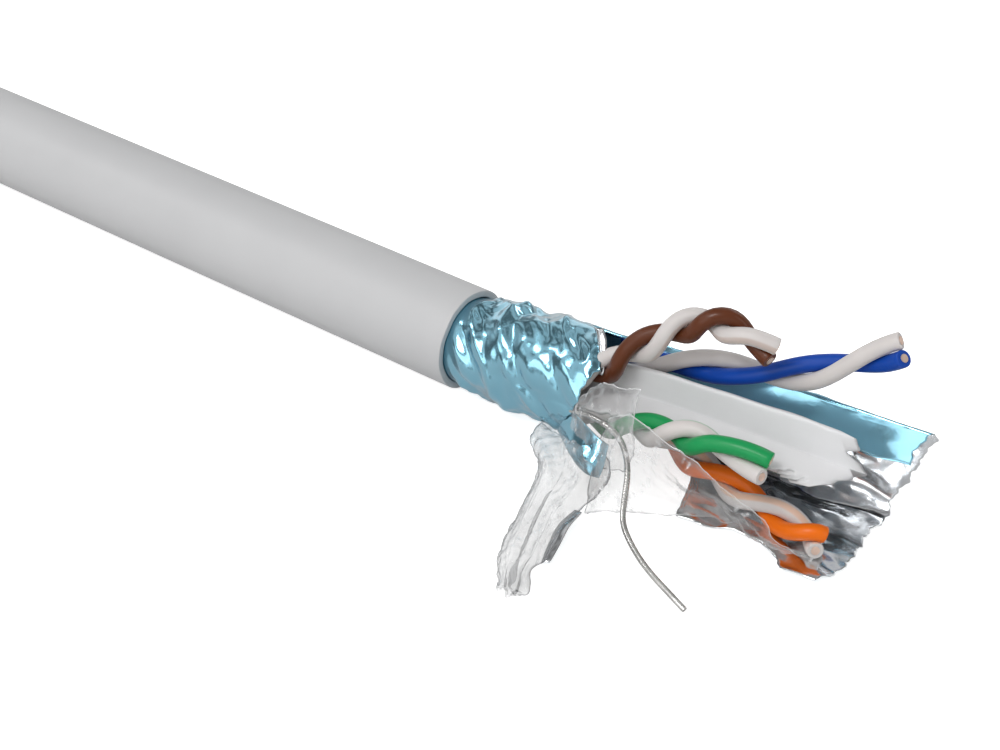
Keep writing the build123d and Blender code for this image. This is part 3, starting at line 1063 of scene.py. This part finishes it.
# Control nets of the torn pieces, in millimetres: rows of places that the film passes near
filmNets = {
    "leg": [
        [(7.6, -2.0, -2.7), (9.0, -2.4, -2.4), (10.4, -2.8, -2.0), (11.8, -3.2, -1.4),
         (13.2, -3.4, -0.8)],
        [(8.3, -4.2, -2.6), (9.8, -4.6, -1.9), (11.4, -4.7, -1.8), (13.2, -4.7, -1.3),
         (15.0, -4.2, -1.9)],
        [(10.5, -6.2, -2.6), (11.5, -6.8, -1.8), (12.8, -6.7, -2.1), (14.1, -6.8, -1.8),
         (15.3, -6.0, -2.6)],
        [(11.4, -9.0, -3.1), (12.3, -9.6, -2.3), (13.2, -9.3, -2.7), (14.1, -9.4, -2.4),
         (15.0, -8.4, -3.1)],
        [(12.7, -13.4, -3.5), (13.6, -13.4, -2.7), (14.3, -13.0, -3.1), (15.1, -12.9, -2.8),
         (15.7, -12.2, -3.5)],
        [(13.6, -14.9, -3.6), (14.4, -15.1, -3.0), (15.0, -14.8, -3.3), (15.4, -14.6, -3.1),
         (15.6, -13.9, -3.6)],
        [(14.7, -16.0, -3.6), (15.2, -16.4, -3.2), (15.6, -16.0, -3.5), (16.1, -16.3, -3.1),
         (16.7, -15.7, -3.6)],
        [(15.0, -16.9, -3.6), (15.4, -16.7, -3.4), (15.9, -17.0, -3.3), (16.2, -16.6, -3.5),
         (16.5, -16.3, -3.6)],
    ],
    "fragment": [
        [(13.0, -2.8, 3.5), (14.0, -3.3, 4.2), (15.2, -3.3, 4.4), (16.4, -3.2, 4.8)],
        [(11.8, -3.0, 2.2), (13.3, -3.7, 2.8), (14.8, -3.4, 3.2), (16.3, -3.6, 3.2)],
        [(10.8, -3.2, 0.6), (12.6, -4.0, 1.2), (14.3, -3.7, 1.6), (16.4, -3.9, 1.6)],
        [(10.2, -3.1, -1.4), (12.4, -4.2, -0.6), (14.3, -4.2, -0.4), (16.6, -4.0, 0.2)],
        [(12.2, -3.6, -2.4), (13.4, -4.4, -2.0), (14.8, -4.6, -1.8), (16.2, -4.2, -1.4)],
    ],
    "strip": [
        [(14.2, -3.6, 1.6), (16.3, -3.9, 3.0), (19.6, -4.8, 2.8), (21.9, -5.0, 2.5),
         (23.7, -5.0, 1.5),
         (26.7, -5.0, 0.3), (27.8, -4.8, -1.1), (30.0, -4.0, -2.0)],
        [(14.0, -4.6, -0.2), (16.2, -5.0, 1.2), (19.2, -5.4, 1.6), (21.6, -5.5, 1.2),
         (23.6, -5.2, 0.6),
         (25.9, -5.0, -0.4), (27.7, -4.7, -1.6), (30.1, -3.9, -2.0)],
        [(14.2, -5.6, -1.8), (16.6, -6.0, -0.8), (19.4, -5.7, -0.4), (22.0, -5.2, -0.4),
         (23.9, -4.8, -0.6),
         (25.6, -4.7, -1.2), (27.5, -4.5, -1.9), (30.1, -3.9, -2.1)],
        [(15.2, -7.8, -3.2), (17.6, -7.2, -2.3), (20.7, -5.9, -1.9), (23.4, -4.7, -1.5),
         (24.9, -4.4, -1.8),
         (26.2, -4.4, -2.0), (27.4, -4.4, -2.1), (30.2, -3.8, -2.1)],
    ],
}


def makeFilm():
    s = filmSettings
    angle = np.linspace(0, 2 * math.pi, s["tubeSides"], endpoint=False)
    x = np.linspace(-cableLength, 6 * mm, 30)[:-1]
    x = np.concatenate([x, np.linspace(6 * mm, s["tubeEnd"], 16)])
    around = np.stack([np.cos(angle), np.sin(angle)], -1) * s["radius"] * s["tubeShare"]
    lengthwise = np.repeat(x[:, None, None], s["tubeSides"], 1)
    tube = np.concatenate([lengthwise, np.repeat(around[None], len(x), 0)], -1)
    points = [tube.reshape(-1, 3)]
    edges = [np.zeros(len(points[0]))]
    faces = [face[::-1] for face in sheetFaces(*tube.shape[:2], closed=True)]
    flatArea = 2 * math.pi * s["radius"] * (x[-1] - x[0])
    for order, (name, net) in enumerate(filmNets.items()):
        grid = netSurface(net, s["spacing"])
        rows, columns = grid.shape[:2]
        along, across = np.gradient(grid, axis=0), np.gradient(grid, axis=1)
        normal = normalised(np.cross(along, across))
        # Long pleats down the piece, with creases across them
        row, column = np.meshgrid(np.arange(rows), np.arange(columns), indexing="ij")
        flat = np.stack([row * 0.40, column, np.zeros_like(row)], -1) * s["spacing"]
        pleats = foldHeight(flat, s["seed"] + order, 2.9 * mm, 1.2 * mm, 3, warp=0.5)
        creases = foldHeight(grid, s["seed"] + 5 + order, 2.2 * mm, 0.7 * mm, 5, warp=0.4)
        height = (pleats * 0.6 + creases * 0.5) * s["crumple"]
        # Torn rims and the sharpest creases get the edge mark, which paints highlight lines on them
        bend = np.abs(np.gradient(np.gradient(height, axis=0), axis=0))
        bend = bend + np.abs(np.gradient(np.gradient(height, axis=1), axis=1))
        edge = smoothStep(bend, np.quantile(bend, 0.93), np.quantile(bend, 0.995)) * 0.7
        edge[0], edge[-1], edge[:, 0], edge[:, -1] = 1, 1, 1, 1
        rim = foldHeight(grid, s["seed"] + 9, 1.2 * mm, 0.4 * mm, 4)
        inward = np.zeros_like(grid)
        inward[0], inward[-1] = along[0], -along[-1]
        inward[:, 0] += across[:, 0]
        inward[:, -1] -= across[:, -1]
        grid = grid + inward * (rim * 0.6)[..., None]
        flatArea += np.linalg.norm(np.cross(along, across), axis=-1).sum()
        closed = name in s["doubled"]
        if closed:
            # Two layers that meet at their long rims, like a flattened sleeve
            half = np.sin(np.linspace(0, math.pi, columns)) ** 0.6 * s["bulge"]
            upper = grid + normal * (half[None] + height)[..., None]
            lower = grid - normal * (half[None] * 0.6 - height * 0.5)[..., None]
            grid = np.concatenate([upper, lower[:, ::-1][:, 1:-1]], 1)
            edge = np.concatenate([edge, edge[:, ::-1][:, 1:-1] * 0.4], 1)
            flatArea += np.linalg.norm(np.cross(along, across), axis=-1).sum()
        else:
            grid = grid + normal * height[..., None]
        grid[..., 2] = np.maximum(grid[..., 2], -jacketRadius + 0.08 * mm)
        start = sum(len(part) for part in points)
        points.append(grid.reshape(-1, 3))
        edges.append(edge.ravel())
        faces += sheetFaces(*grid.shape[:2], closed=closed, start=start)
    film = meshObject("clearFilm", np.concatenate(points), faces, [finishes["film"]])
    film.data.attributes.new("edge", "FLOAT", "POINT").data.foreach_set(
        "value", np.concatenate(edges).astype(np.float32))
    thicken(film, s["thickness"])
    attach(film, "root")
    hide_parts("clear_film")
    print(f"film: {len(film.data.polygons)} faces")


makeFilm()

bpy.context.view_layer.update()
